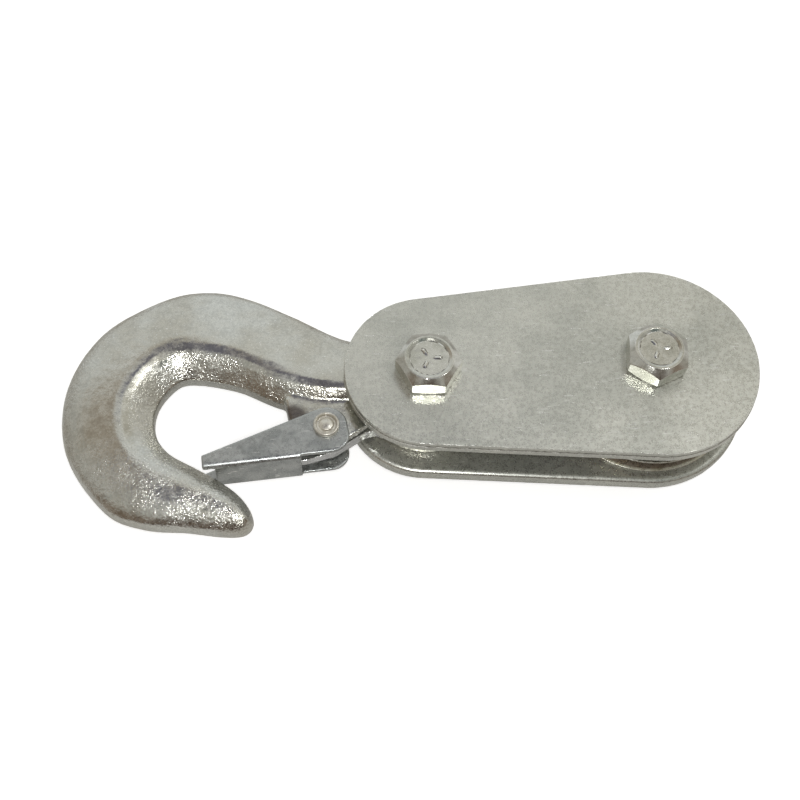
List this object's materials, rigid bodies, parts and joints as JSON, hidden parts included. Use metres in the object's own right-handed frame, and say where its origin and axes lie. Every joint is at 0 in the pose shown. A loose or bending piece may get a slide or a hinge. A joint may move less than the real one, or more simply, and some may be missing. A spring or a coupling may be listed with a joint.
{
  "type": "double sheave block",
  "caption": "Steel pulley block with side-by-side grooved sheaves between flat cheek plates and a swinging forged slip hook with a sprung safety latch.",
  "frame": {"origin": "on the sheave bolt's axis, halfway between the two cheek plates", "axes": "+X along the block away from the hook, +Z out of the front plate (the side with the bolt heads), +Y across the block on the side of the hook's back"},
  "size_m": [0.2295, 0.0901, 0.0475],
  "materials": {
    "plate_zinc": "satin zinc-plated rolled sheet, fine mottle",
    "bolt_zinc": "bright zinc-plated",
    "washer_zinc": "zinc-plated spring steel",
    "sleeve_steel": "turned steel, lightly oiled",
    "sheave_yellow_zinc": "turned steel, pale yellow-passivated zinc",
    "bush_bronze": "sintered bronze",
    "hook_zinc": "zinc-plated forging, fine pitting",
    "latch_zinc": "zinc-plated pressed sheet, light scratches",
    "rivet_zinc": "zinc-plated",
    "spring_steel": "bright spring strip"
  },
  "bodies": {
    "block": {"front_plate": "plate_zinc", "rear_plate": "plate_zinc", "sheave_bolt": "bolt_zinc", "sheave_lock_washer": "washer_zinc", "sheave_nut": "bolt_zinc", "hook_bolt": "bolt_zinc", "hook_lock_washer": "washer_zinc", "hook_nut": "bolt_zinc", "sheave_sleeve": "sleeve_steel", "hook_sleeve": "sleeve_steel", "centre_washer": "washer_zinc"},
    "front_wheel": {"front_sheave": "sheave_yellow_zinc", "front_bush": "bush_bronze"},
    "rear_wheel": {"rear_sheave": "sheave_yellow_zinc", "rear_bush": "bush_bronze"},
    "hook": {"hook": "hook_zinc", "spring_rivet": "rivet_zinc", "latch_spring": "spring_steel"},
    "latch": {"latch": "latch_zinc", "latch_rivet": "rivet_zinc"}
  },
  "joints": [
    {"name": "front_sheave_spin", "type": "hinge", "parent": "block", "child": "front_wheel", "pos_m": [0, 0, 0.00425], "axis": [0, 0, 1], "continuous": true},
    {"name": "rear_sheave_spin", "type": "hinge", "parent": "block", "child": "rear_wheel", "pos_m": [0, 0, -0.00425], "axis": [0, 0, 1], "continuous": true},
    {"name": "hook_swing", "type": "hinge", "parent": "block", "child": "hook", "pos_m": [-0.075, 0, 0], "axis": [0, 0, 1], "range_deg": [-75, 60]},
    {"name": "latch_open", "type": "hinge", "parent": "hook", "child": "latch", "pos_m": [-0.10881, -0.0163, 0], "axis": [0, 0, -1], "range_deg": [0, 42], "stiffness_Nm_per_rad": 0.02, "springref_deg": -17.19, "deforming": ["latch_spring"]}
  ]
}
